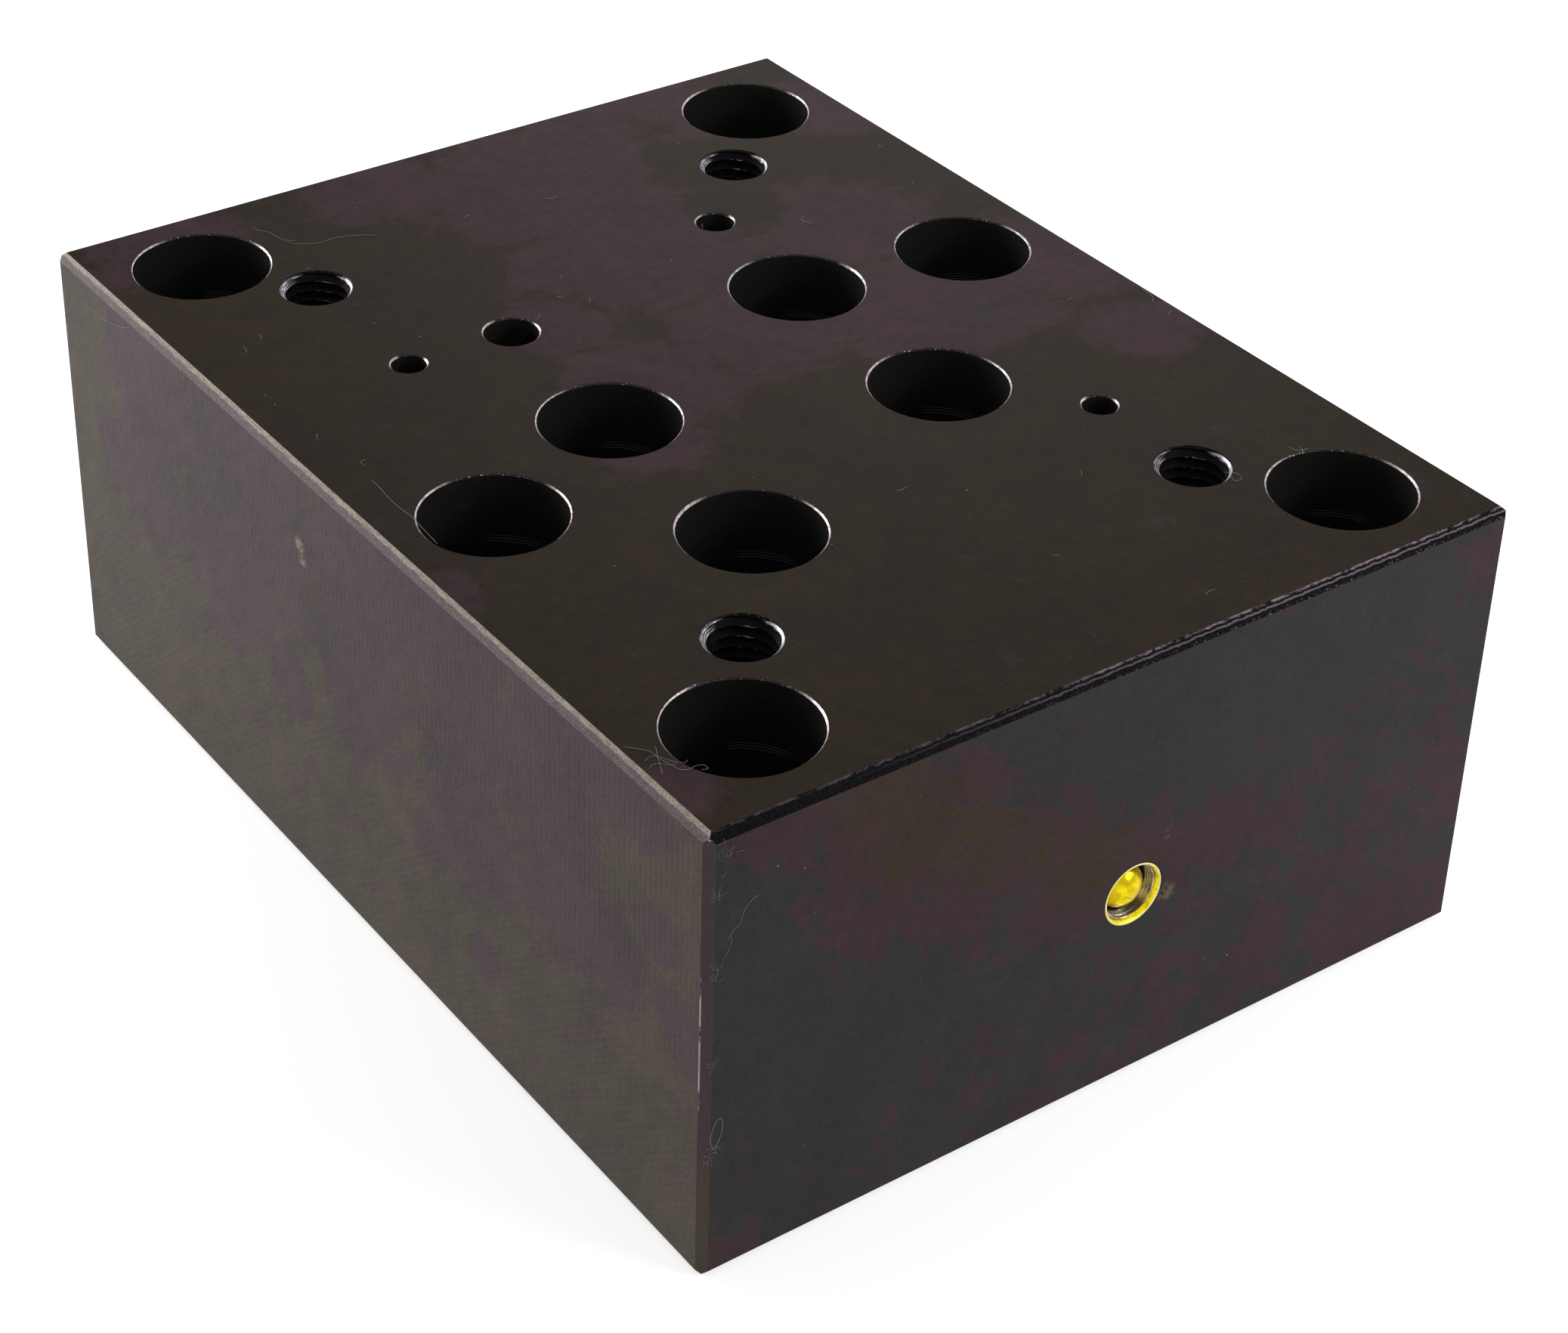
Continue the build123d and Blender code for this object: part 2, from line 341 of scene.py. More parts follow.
def top_finish():
    """The milled valve face: satin brown black, mottled, with faint cutter arcs and fine dust."""
    f = Finish("block_top_face", 0.42, specular=0.02)
    ragged = f.noise(7.0, 6.0, 0.78, at=(3, 40, 0), distortion=0.5)
    field = f.minus(f.zones(TOP_PURPLE, 2, TOP_Z), f.times(f.zones(TOP_OLIVE, 2, TOP_Z), 0.7))
    purple = f.between(f.add(f.times(field, 0.45), ragged), 0.6, 0.78)
    colour = f.mix(purple, OLIVE_BROWN, PURPLE_BROWN)
    neutral = f.times(f.between(f.noise(11.0, 5.0, 0.7, at=(70, 0, 0)), 0.62, 0.68), 0.7)
    colour = f.mix(neutral, colour, NEUTRAL_GREY)
    bands = []
    for x, y in MAIN_PORT_PLACES:
        ring = f.away((x, y, TOP_Z))
        bands.append(f.times(f.between(ring, 11.5, 15.0), f.between(ring, 17.0, 15.3)))
    halo = f.most(*bands)
    swirl = f.away((-12.0, -170.0, TOP_Z))
    cutter = f.lines(swirl, 0.9, wobble=0.6)
    sweep = f.away((-52.0, -74.0, TOP_Z))
    rings = f.times(f.lines(sweep, 5.5, wobble=3.0, wobble_size=14.0), f.between(sweep, 62.0, 20.0))
    grain = f.noise(0.3, 3.0, 0.7)
    blotch = f.noise(2.4, 5.0, 0.65, distortion=0.6, at=(0, 7, 0))
    cloud = f.noise(12.0, 4.0, 0.6, distortion=0.4)
    pass_edge = f.between(f.x, 0.3, 0.9, 0.97, 1.03)
    mottled = ((cloud, 1.0), (blotch, 0.9), (grain, 1.2))
    level = f.varied(TOP_LEVEL, *mottled, (rings, 0.06), (cutter, 0.05), (halo, 0.1))
    colour = f.shade(colour, f.times(level, pass_edge))
    f.colour(f.dusted(colour, (3.1, 0.12, 0.16), (1.3, 0.08, 0.08), 0.6, 0.75))
    f.roughness(f.add(0.36, f.times(cloud, 0.1), f.times(grain, 0.1)))
    f.bump(f.add(f.times(grain, 0.5), f.times(cutter, 0.3)), 0.012)
    return f.material


def side_finish(name, upper, lower, level, along, purple_zones=(), face=0.0):
    """A milled side: fine upright cutter lines in its upper half and slanting ones below.

    The purple zones lie on a face square to X, at the face's own X.
    """
    f = Finish(name, 0.5, specular=0.12)
    distance = f.y if along == "y" else f.x
    upper_half = f.between(f.add(f.z, f.times(f.noise(22.0, 4.0, 0.6), 34.0)), 40.0, 60.0)
    slanted = f.slanted_place()
    patches = f.noise(5.0, 6.0, 0.78, stretch=(1, 2.4, 1), at=(0, 11, 5), place=slanted)
    if purple_zones:
        field = f.times(f.zones(purple_zones, 0, face), 0.24)
    else:
        field = f.times(upper_half, 0.1)
    purple = f.between(f.add(field, patches), 0.54, 0.61)
    colour = f.mix(purple, lower, upper)
    upright = f.lines(distance, 1.04, wobble=0.5, wobble_size=5.0)
    slope = f.add(f.times(distance, 0.62), f.times(f.z, 0.78))
    slanting = f.lines(slope, 1.0, wobble=0.6, wobble_size=6.0)
    lines = f.add(f.times(upright, upper_half), f.times(slanting, f.minus(1.0, upper_half)))
    grain = f.noise(0.5, 3.0, 0.8)
    scratch = f.noise(0.4, 4.0, 0.65, stretch=(1, 1, 6))
    streaks = f.noise(3.0, 5.0, 0.6, stretch=(1, 2, 0.7), place=slanted)
    cloud = f.noise(14.0, 4.0, 0.6, at=(0, 60, 0))
    shade = f.varied(level, (cloud, 0.8), (grain, 1.6), (scratch, 0.6), (streaks, 0.7), (lines, 0.13))
    colour = f.dusted(f.shade(colour, shade), (4.0, 0.15, 0.08), (1.6, 0.1, 0.04), 0.5, 0.6)
    return f, colour, lines, grain


def left_finish():
    """The side with the lightest finish, made lighter as painted light from the left, with one pale stain."""
    left = -BLOCK_WIDTH_MM / 2
    # Painted light: this side takes lighter greys than the other sides, for light from the left.
    f, colour, lines, grain = side_finish(
        "block_left_face", LIT_PURPLE_GREY, LIT_WARM_GREY, LEFT_LEVEL, "y", LEFT_PURPLE, left
    )
    stain = f.most(f.spot((left, 11.2, 53.4), 0.5, 1.5), f.spot((left, 10.7, 51.4), 0.4, 1.3))
    ragged = f.between(f.noise(0.6, 4.0, 0.7), 0.36, 0.56)
    smudge = f.spot((left, 9.5, 47.6), 0.5, 3.2)
    colour = f.mix(f.times(smudge, 0.5), colour, SMUDGE_OLIVE)
    f.colour(f.mix(f.times(stain, ragged, 0.6), colour, STAIN_PALE))
    f.bump(f.add(f.times(lines, 0.6), f.times(grain, 0.5)), 0.014)
    return f.material


def plain_side_finish(name, along):
    """A side with no marks of its own."""
    f, colour, lines, grain = side_finish(name, PURPLE_BROWN, NEUTRAL_GREY, PLAIN_SIDE_LEVEL, along)
    f.colour(colour)
    f.bump(f.add(f.times(lines, 0.5), f.times(grain, 0.5)), 0.014)
    return f.material


def front_finish():
    """The dark front face: neutral grey with a slanting purple band that carries an olive patch."""
    f = Finish("block_front_face", 0.5, specular=0.08)
    face = -BLOCK_LENGTH_MM / 2
    ragged = f.noise(3.2, 6.0, 0.78, stretch=(1, 1.8, 1), place=f.slanted_place())
    broad = f.noise(10.0, 4.0, 0.6, at=(5, 0, 0))
    band = f.times(f.zones(FRONT_PURPLE, 1, face), 0.24)
    lower_right = f.between(f.minus(f.times(f.x, 0.5), f.z), -48.0, 6.0, 0.02, 0.15)
    field = f.add(f.most(band, lower_right), ragged, f.times(broad, 0.3))
    colour = f.mix(f.between(field, 0.755, 0.805), NEUTRAL_GREY, PURPLE_BROWN)
    olive = f.between(f.add(f.times(f.zones(FRONT_OLIVE, 1, face), 0.25), ragged), 0.625, 0.73)
    colour = f.mix(f.times(olive, 0.95), colour, FRONT_OLIVE_BROWN)
    grain = f.noise(0.4, 4.0, 0.75)
    blotch = f.noise(2.0, 5.0, 0.65, distortion=0.5)
    cloud = f.noise(11.0, 4.0, 0.6, at=(0, 0, 30))
    level = f.varied(FRONT_LEVEL, (cloud, 0.6), (grain, 1.4), (blotch, 0.7))
    colour = f.shade(colour, level)
    # Painted shadow: a thin black line around the plug's mouth at its upper right.
    plug_x, plug_z = PLUG_PLACE
    off_plug = f.away((plug_x, face, plug_z))
    rightward = f.times(f.minus(f.x, plug_x), 0.8)
    upward = f.times(f.minus(f.z, plug_z), 0.6)
    upper_right = f.between(f.add(rightward, upward), 1.5, 3.6)
    gap_shadow = f.times(f.between(off_plug, 4.66, 4.58), upper_right)
    colour = f.mix(f.times(gap_shadow, 0.9), colour, GAP_SHADOW_BLACK)
    ragged_edge = f.between(f.noise(0.7, 3.0), 0.4, 0.6)
    smear = f.times(f.spot((8.0, face, 27.5), 0.6, 1.9), ragged_edge)
    colour = f.mix(f.times(smear, 0.55), colour, SMEAR_OLIVE)
    f.colour(f.dusted(colour, (4.0, 0.15, 0.1), (1.6, 0.1, 0.06), 0.5, 0.6))
    f.roughness(f.add(0.42, f.times(grain, 0.16)))
    f.bump(f.noise(0.8, 4.0, 0.6), 0.02)
    return f.material


def worn_edge_finish():
    """The chamfer along the left of the valve face: filed nearly bare, with a lighter and a darker stripe."""
    f = Finish("block_worn_edge", 0.4, metallic=0.25, specular=0.3)
    depth = f.minus(TOP_Z, f.z)
    streaks = f.between(f.noise(0.16, 5.0, 0.7, stretch=(1, 14, 1)), 0.34, 0.66)
    chatter = f.between(f.noise(0.3, 3.0, 0.75, at=(9, 0, 0)), 0.4, 0.66)
    stripe = f.between(f.add(depth, f.times(f.noise(2.0, 4.0, 0.7), 0.4)), 0.56, 0.74)
    colour = f.mix(stripe, FILED_LIGHT, FILED_DARK)
    level = f.add(0.4, f.times(streaks, 0.55), f.times(chatter, 0.5))
    f.colour(f.shade(colour, level))
    f.roughness(f.add(0.32, f.times(streaks, 0.25)))
    f.bump(f.add(streaks, chatter), 0.05)
    return f.material


def front_edge_finish():
    """The chamfer along the front of the valve face: black, with bright lines that grow towards the right."""
    f = Finish("block_dark_edge", 0.5, specular=0.02)
    wander = f.times(f.minus(f.noise(1.2, 5.0, 0.7), 0.5), 0.5)
    depth = f.add(f.minus(TOP_Z, f.z), wander)
    broken = f.between(f.noise(0.8, 4.0, 0.75, stretch=(2.5, 1, 1)), 0.4, 0.6)
    rightward = f.between(f.x, -48.0, 25.0)
    upper = f.times(f.between(depth, 0.26, 0.12), f.add(0.3, f.times(rightward, 0.7)), broken)
    second = f.times(f.between(f.math("ABSOLUTE", f.minus(depth, 0.5)), 0.12, 0.04), rightward)
    scratched = f.between(f.noise(0.3, 3.0, 0.8, stretch=(1.6, 1, 1), at=(0, 5, 0)), 0.56, 0.64)
    lower = f.times(f.between(depth, 0.75, 0.95), scratched, rightward)
    light = f.add(upper, f.times(second, 0.6), f.times(lower, 0.7))
    ticks = f.noise(0.3, 4.0, 0.7, stretch=(1, 1, 3))
    black = f.mix(f.between(ticks, 0.4, 0.65), EDGE_BLACK, EDGE_DARK_GREY)
    f.colour(f.mix(light, black, EDGE_BRIGHT))
    f.bump(f.noise(0.4, 4.0, 0.7), 0.04)
    return f.material


def plain_edge_finish():
    """The other chamfers: purple above and olive below, with a thin painted highlight line on the front
    corner.
    """
    f = Finish("block_plain_edge", 0.5, specular=0.1)
    streaks = f.noise(0.7, 5.0, 0.7, stretch=(1, 1, 4))
    left, front = -BLOCK_WIDTH_MM / 2, -BLOCK_LENGTH_MM / 2
    # Painted highlight: a broken bright line down the front left upright edge.
    reach = f.between(f.math("ABSOLUTE", f.minus(f.z, 35.5)), 10.5, 8.5)
    line = f.between(f.minus(f.x, left), 0.16, 0.06)
    front_end = f.between(f.y, front + 2.0, front + 1.5)
    broken = f.between(f.noise(0.9, 4.0, 0.7, stretch=(1, 1, 3), at=(4, 0, 0)), 0.4, 0.55)
    corner = f.spot((left + 0.55, front + 0.55, TOP_Z - 0.55), 0.1, 0.3)
    light = f.most(f.times(reach, broken, line, front_end), corner)
    lower = f.between(f.add(f.z, f.times(f.noise(6.0, 4.0), 24.0)), 36.0, 28.0)
    colour = f.shade(f.mix(lower, EDGE_PURPLE, EDGE_OLIVE), f.add(0.6, f.times(streaks, 0.7)))
    f.colour(f.mix(light, colour, EDGE_LINE))
    f.bump(streaks, 0.03)
    return f.material


def bore_finish():
    """The walls of the holes: black, darker than the faces as painted shade, with faint rings left by the
    drill.
    """
    f = Finish("block_bores", 0.55, specular=0.1)
    rings = f.lines(f.z, 1.7, wobble=1.2, wobble_size=9.0)
    sparse = f.between(f.noise(3.5, 3.0, stretch=(1, 1, 0.25)), 0.55, 0.7)
    level = f.add(0.7, f.times(rings, sparse, 0.5), f.times(f.noise(0.5, 3.0), 0.3))
    depth = f.minus(TOP_Z, f.z)
    score = f.lines(depth, 0.42, wobble=0.5, wobble_size=4.0)
    band = f.between(f.math("ABSOLUTE", f.minus(depth, 9.6)), 0.7, 0.4)
    far_wall = f.between(f.looking((-0.75, -0.66, 0.0)), 0.88, 0.97)
    scored = f.times(band, far_wall, f.between(score, 0.75, 0.95), 0.7)
    # Painted shade: the hole walls are coloured darker than the coating on the faces.
    black = f.shade(BORE_SHADED_BLACK, level)
    f.colour(f.mix(scored, black, (120, 112, 110)))
    f.bump(f.noise(0.6, 3.0, stretch=(1, 1, 0.3)), 0.02)
    return f.material


def rim_finish():
    """The broken edges at the mouths of the holes: painted highlights on worn bare steel at two sides, with
    the coating left between.
    """
    f = Finish("block_hole_rims", 0.35, metallic=0.6, specular=0.3)
    worn = f.between(f.noise(0.8, 4.0, 0.75), 0.4, 0.56)
    flecks = f.between(f.noise(0.35, 3.0, 0.7, at=(0, 3, 0)), 0.6, 0.68)
    # Painted highlight, on worn bare steel: the two sides that look along ACROSS are painted bright silver.
    bare_and_highlight = f.facing(ACROSS, 0.4, 0.66)
    light = f.most(f.times(bare_and_highlight, f.add(0.45, f.times(worn, 0.55))), f.times(flecks, 0.45))
    f.colour(f.mix(light, (28, 24, 25), WORN_SILVER_AND_HIGHLIGHT))
    f.bump(f.noise(0.25, 3.0), 0.03)
    return f.material


def thread_finish():
    """Countersinks and threads: coated black, darkened as painted shade, with painted highlights on bare
    steel at two sides and painted highlight streaks along the crests.
    """
    f = Finish("block_threads", 0.36, specular=0.03)
    depth = f.minus(TOP_Z, f.z)
    flat = f.vector("MULTIPLY", f.place, (1.0, 1.0, 0.0))
    off_axis = f.least(*(f.vector("DISTANCE", flat, (x, y, 0.0)) for x, y in TAPPED_PLACES))
    scored = f.noise(0.3, 4.0, 0.75, stretch=(1, 1, 0.35))
    grooves = f.between(f.lines(depth, 0.19, wobble=0.3, wobble_size=1.5), 0.0, 0.7)
    grooves = f.most(grooves, f.between(f.looking(ACROSS), 0.1, -0.2))
    mouth = f.between(depth, 1.0, 0.8)
    # Painted highlight, on bare steel: the two sides that look along ACROSS are painted bright.
    sides = f.facing(ACROSS, 0.42, 0.68)
    uneven = f.between(f.noise(1.5, 3.0, 0.6, at=(8, 0, 0)), 0.3, 0.6, 0.35, 1.0)
    lip = f.between(depth, 0.1, 0.2)
    bright = f.add(0.45, f.times(f.between(scored, 0.35, 0.6), 0.9))
    bare_and_highlight = f.least(f.times(mouth, sides, bright, grooves, uneven, lip), 1.0)
    # Painted highlight: bright streaks on the crests that face the front left, fading deeper in the hole.
    crest = f.times(f.between(off_axis, 4.36, 4.3), f.between(depth, 0.9, 1.0))
    streak = f.between(f.looking((-0.72, -0.69, 0.0)), 0.93, 0.985)
    dashes = f.between(f.noise(0.9, 3.0, 0.6, stretch=(1, 1, 0.4), at=(2, 2, 0)), 0.42, 0.58)
    fading = f.between(depth, 6.5, 1.5)
    light = f.most(bare_and_highlight, f.times(crest, streak, dashes, fading, 0.9))
    specks = f.times(f.between(f.noise(0.25, 3.0, 0.7), 0.6, 0.68), f.between(depth, 0.3, 0.0), 0.4)
    light = f.most(light, specks)
    # Painted shade: the coat is near black, darker than the faces.
    f.colour(f.mix(light, (14, 14, 14), COUNTERSINK_LILAC))
    f.metallic(f.times(light, 0.85))
    f.bump(scored, 0.03)
    return f.material


def plug_finish(name, colour, second, roughness, metallic):
    """Yellow chromate, bare steel, or near black as painted shade, a little blotched."""
    f = Finish(name, roughness, metallic=metallic, specular=0.5)
    patchy = f.between(f.noise(1.1, 4.0, 0.7), 0.42, 0.6)
    fine = f.noise(0.16, 3.0, 0.6)
    f.colour(f.shade(f.mix(patchy, colour, second), f.add(0.75, f.times(fine, 0.5))))
    f.bump(fine, 0.012)
    return f.material


def plug_wall_finish(mouth):
    """The cup's wall, scored bright in rings where the ball was driven through, with painted reflection
    unevenness and a painted shadow at the bottom.
    """
    f = Finish("plug_wall", 0.24, specular=0.5)
    deep = f.minus(f.y, mouth[1])
    # Painted reflection: the wall is made lighter and darker around in broad patches.
    around = f.noise(1.6, 2.0, 0.5)
    rings = f.noise(0.12, 4.0, 0.75, stretch=(16, 0.7, 16))
    score = f.add(f.between(rings, 0.4, 0.6), f.times(f.lines(deep, 0.3, wobble=0.4, wobble_size=1.5), 0.3))
    # Painted shadow: a dark patch low on the cup's wall.
    stain = f.spot((mouth[0] + 1.5, mouth[1] + 1.4, mouth[2] - 3.6), 0.9, 2.3)
    level = f.times(score, f.between(around, 0.3, 0.6, 0.55, 1.0), f.minus(1.0, f.times(stain, 0.9)))
    f.colour(f.mix(level, (46, 40, 34), (244, 234, 242)))
    f.metallic(f.add(0.25, f.times(level, 0.6)))
    f.bump(rings, 0.03)
    return f.material


def plug_ball_finish(middle):
    """The ball: bright yellow chromate, darker at the top as painted shade, with a painted reflection patch.
    """
    f = Finish("plug_ball", 0.22, metallic=0.85, specular=0.5)
    patchy = f.between(f.noise(1.4, 4.0, 0.65, distortion=0.6), 0.4, 0.62)
    colour = f.mix(patchy, PLUG_YELLOW, (206, 180, 4))
    # Painted shade: the upper part of the ball is darker.
    painted_top_shade = f.between(f.add(f.z, f.times(f.noise(1.2, 3.0), 1.5)), middle[2] + 1.6, middle[2] + 3.2)
    colour = f.mix(f.times(painted_top_shade, 0.6), colour, (150, 132, 8))
    # Painted reflection: a small grey lilac patch low on the ball.
    painted_reflection = f.spot((middle[0] + 1.15, middle[1] - 3.1, middle[2] - 0.95), 0.3, 0.75)
    streak = f.between(f.noise(0.5, 4.0, 0.7, stretch=(1.4, 1, 0.7)), 0.4, 0.52)
    colour = f.mix(f.times(painted_reflection, streak, 0.9), colour, (196, 172, 168))
    f.colour(colour)
    f.bump(f.noise(0.5, 3.0), 0.012)
    return f.material


def rubber_finish():
    """Matt black rubber with a faint bloom."""
    f = Finish("seal_rubber", 0.62, specular=0.35)
    fine = f.noise(0.4, 4.0, 0.7)
    bloom = f.between(f.noise(6.0, 4.0), 0.5, 0.75)
    colour = f.mix(f.times(bloom, 0.25), RUBBER_BLACK, (60, 60, 62))
    f.colour(f.shade(colour, f.add(0.8, f.times(fine, 0.4))))
    f.bump(fine, 0.02)
    return f.material


def lint_finish():
    """Pale grey fibre."""
    f = Finish("lint_fibre", 0.8, specular=0.2)
    f.colour(f.mix(f.noise(2.0, 2.0), LINT_PALE, (120, 130, 128)))
    return f.material


# Meshes


def piece(name, mesh):
    """A new object that rides with the block."""
    made = bpy.data.objects.new(name, mesh)
    bpy.context.scene.collection.objects.link(made)
    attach(made, "root")
    return made


def on_level(item, level):
    """Whether all of a face or an edge lies at a height."""
    return all(abs(v.co.z - level) < SAME_PLACE for v in item.verts)


def top_loops(bm, top):
    """Take out the top face. Returns its outer edge loop and then its hole loops, as ordered vertices."""
    flat = [f for f in bm.faces if on_level(f, top)]
    bmesh.ops.delete(bm, geom=flat, context="FACES_ONLY")
    loose = [e for e in bm.edges if not e.link_faces]
    bmesh.ops.delete(bm, geom=loose, context="EDGES")
    # A dict keeps the mesh's own order, so that the holes come in the same order on each run.
    kept = dict.fromkeys(e for e in bm.edges if e.is_boundary and on_level(e, top))
    loops = []
    while kept:
        edge = next(iter(kept))
        del kept[edge]
        loop = [edge.verts[0], edge.verts[1]]
        while True:
            following = [e for e in loop[-1].link_edges if e in kept]
            if not following:
                break
            del kept[following[0]]
            loop.append(following[0].other_vert(loop[-1]))
        if loop[0] is loop[-1]:
            loop.pop()
        loops.append(loop)
    loops.sort(key=lambda vs: -max((vs[0].co - b.co).length for b in vs))
    return loops


def loop_circle(loop):
    """Centre and radius of a hole's loop."""
    xs = [v.co.x for v in loop]
    ys = [v.co.y for v in loop]
    centre = Vector(((min(xs) + max(xs)) / 2, (min(ys) + max(ys)) / 2, loop[0].co.z))
    return centre, max((v.co - centre).length for v in loop)


def break_rim(bm, loop, centre, radius, chance):
    """Give a plain hole a small worn chamfer, and return the new loop on the face."""
    outer = []
    wave = [chance.uniform(0, 2 * math.pi) for _ in range(3)]
    for v in loop:
        outward = (v.co - centre).normalized()
        angle = math.atan2(outward.y, outward.x)
        wander = sum(math.sin((n + 2) * angle + wave[n]) for n in range(3)) / 3
        width = RIM_BREAK + RIM_WANDER * wander
        outer.append(bm.verts.new(centre + outward * (radius + width)))
        v.co.z -= width
    rims = []
    for i in range(len(loop)):
        j = (i + 1) % len(loop)
        rims.append(bm.faces.new((loop[i], loop[j], outer[j], outer[i])))
    return outer, rims


def thread_radius(angle, depth):
    """The wall's radius at an angle and a depth: the thread, or the countersink where that is wider."""
    phase = (depth / THREAD_PITCH + angle / (2 * math.pi)) % 1.0
    from_crest = min(phase, 1.0 - phase)
    crest, root = 0.06, 0.43
    rise = min(1.0, max(0.0, (from_crest - crest) / (root - crest)))
    radius = THREAD_MINOR_RADIUS + (THREAD_MAJOR_RADIUS - THREAD_MINOR_RADIUS) * rise
    if depth > THREAD_DEPTH - THREAD_PITCH:
        fade = max(0.0, (THREAD_DEPTH - depth) / THREAD_PITCH)
        radius = THREAD_MINOR_RADIUS + (radius - THREAD_MINOR_RADIUS) * fade
    return max(radius, COUNTERSINK_RADIUS - depth)


def cut_thread(bm, centre):
    """Make the wall, threads and drill point of a tapped hole. Returns its loop on the face, and the wall."""
    depths = [0.0]
    while depths[-1] < THREAD_DEPTH - 1e-9:
        depths.append(depths[-1] + (FINE_STEP if depths[-1] < FINE_THREAD_DEPTH else COARSE_STEP))
    depths.append(THREAD_HOLE_DEPTH)
    rows = []
    for depth in depths:
        row = []
        for k in range(THREAD_SEGMENTS):
            angle = 2 * math.pi * k / THREAD_SEGMENTS
            radius = thread_radius(angle, depth)
            spoke = Vector((math.cos(angle) * radius, math.sin(angle) * radius, -depth))
            row.append(bm.verts.new(centre + spoke))
        rows.append(row)
    walls = []
    for upper, lower in zip(rows, rows[1:]):
        for k in range(THREAD_SEGMENTS):
            j = (k + 1) % THREAD_SEGMENTS
            walls.append(bm.faces.new((upper[k], lower[k], lower[j], upper[j])))
    tip_depth = THREAD_HOLE_DEPTH + THREAD_MINOR_RADIUS / DRILL_POINT_SLOPE
    tip = bm.verts.new(centre - Vector((0, 0, tip_depth)))
    for k in range(THREAD_SEGMENTS):
        walls.append(bm.faces.new((rows[-1][k], tip, rows[-1][(k + 1) % THREAD_SEGMENTS])))
    return rows[0], walls


def face_kind(face, low, high):
    """Which finish a face of the block takes, by where it lies and which way it looks."""
    middle = face.calc_center_median()
    normal = face.normal
    sides = {
        "left": (middle.x - low.x, -normal.x), "right": (high.x - middle.x, normal.x),
        "front": (middle.y - low.y, -normal.y), "back": (high.y - middle.y, normal.y),
        "bottom": (middle.z - low.z, -normal.z), "top": (high.z - middle.z, normal.z),
    }
    outward = {side: facing for side, (depth, facing) in sides.items() if depth < CHAMFER_REACH}
    for side, facing in outward.items():
        if facing > 0.99:
            return side
    slanted = [side for side, facing in outward.items() if facing > 0.3]
    if len(slanted) >= 2:
        if "top" in slanted and "left" in slanted:
            return "edge_top_left"
        if "top" in slanted and "front" in slanted:
            return "edge_top_front"
        return "edge_other"
    return "bore"


def in_column(face, centre, radius):
    """Whether a face belongs to the hole below a centre on the top face."""
    middle = face.calc_center_median()
    near = Vector((middle.x - centre.x, middle.y - centre.y)).length < radius
    return near and middle.z > TOP_Z * MM - COLUMN_DEPTH


def dressed_block():
    """The block with worn rims and real threads, in a mesh of its own that stands for the CAD node."""
    source = frame["nodes"]["manifold_block"]
    low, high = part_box("manifold_block")
    bm = bmesh.new()
    bm.from_mesh(source.data)
    bmesh.ops.remove_doubles(bm, verts=bm.verts, dist=SAME_PLACE)
    chance = random.Random(SEED)
    loops = top_loops(bm, high.z)
    face_loops, special = [loops[0]], {}
    for loop in loops[1:]:
        centre, radius = loop_circle(loop)
        if abs(radius - COUNTERSINK_RADIUS) < 0.1 * MM:
            column = [f for f in bm.faces if in_column(f, centre, COUNTERSINK_RADIUS + 0.05 * MM)]
            bmesh.ops.delete(bm, geom=column, context="FACES")
            rim, walls = cut_thread(bm, centre)
            special.update({f: "thread" for f in walls})
        else:
            rim, faces = break_rim(bm, loop, centre, radius, chance)
            special.update({f: "rim" for f in faces})
        face_loops.append(rim)
    edges = []
    for loop in face_loops:
        for a, b in zip(loop, loop[1:] + loop[:1]):
            edges.append(bm.edges.get((a, b)) or bm.edges.new((a, b)))
    filled = bmesh.ops.triangle_fill(bm, edges=edges, use_beauty=True, use_dissolve=False, normal=(0, 0, 1))
    for item in filled["geom"]:
        if isinstance(item, bmesh.types.BMFace):
            special[item] = "top"
    bm.normal_update()
    for face, kind in special.items():
        if kind in ("top", "rim") and face.normal.z < 0:
            face.normal_flip()
    finish_order = list(FINISHES)
    for face in bm.faces:
        kind = special.get(face) or face_kind(face, low, high)
        face.material_index = finish_order.index(kind)
        face.smooth = kind in ("bore", "rim", "thread")
    mesh = bpy.data.meshes.new("block_dressed")
    bm.to_mesh(mesh)
    bm.free()
    if "custom_normal" in mesh.attributes:
        mesh.attributes.remove(mesh.attributes["custom_normal"])
    mesh.set_sharp_from_angle(angle=BLOCK_SHARP_ANGLE)
    for material in FINISHES.values():
        mesh.materials.append(material)
    made = piece("block_dressed", mesh)
    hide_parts("manifold_block")
    return made


def turned(name, profile, place, turn, segments, materials, replaced):
    """A turned piece: a profile of (radius, depth, finish) points spun about its own axis, put in place."""
    bm = bmesh.new()
    rows = []
    for radius, depth, _ in profile:
        if radius < 1e-7:
            rows.append([bm.verts.new((0, 0, depth))])
            continue
        ring = []
        for k in range(segments):
            angle = 2 * math.pi * k / segments
            ring.append(bm.verts.new((radius * math.cos(angle), radius * math.sin(angle), depth)))
        rows.append(ring)
    for (first, second), (_, _, finish) in zip(zip(rows, rows[1:]), profile[1:]):
        for k in range(segments):
            j = (k + 1) % segments
            turn_of = ((first, k), (second, k), (second, j), (first, j))
            unique = list(dict.fromkeys(row[i % len(row)] for row, i in turn_of))
            if len(unique) >= 3:
                bm.faces.new(unique).material_index = finish
    bmesh.ops.recalc_face_normals(bm, faces=bm.faces)
    bmesh.ops.transform(bm, matrix=Matrix.Translation(place) @ turn, verts=bm.verts)
    mesh = bpy.data.meshes.new(name)
    bm.to_mesh(mesh)
    bm.free()
    for polygon in mesh.polygons:
        polygon.use_smooth = True
    mesh.set_sharp_from_angle(angle=TURNED_SHARP_ANGLE)
    for material in materials:
        mesh.materials.append(material)
    made = piece(name, mesh)
    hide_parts(replaced)
    return made


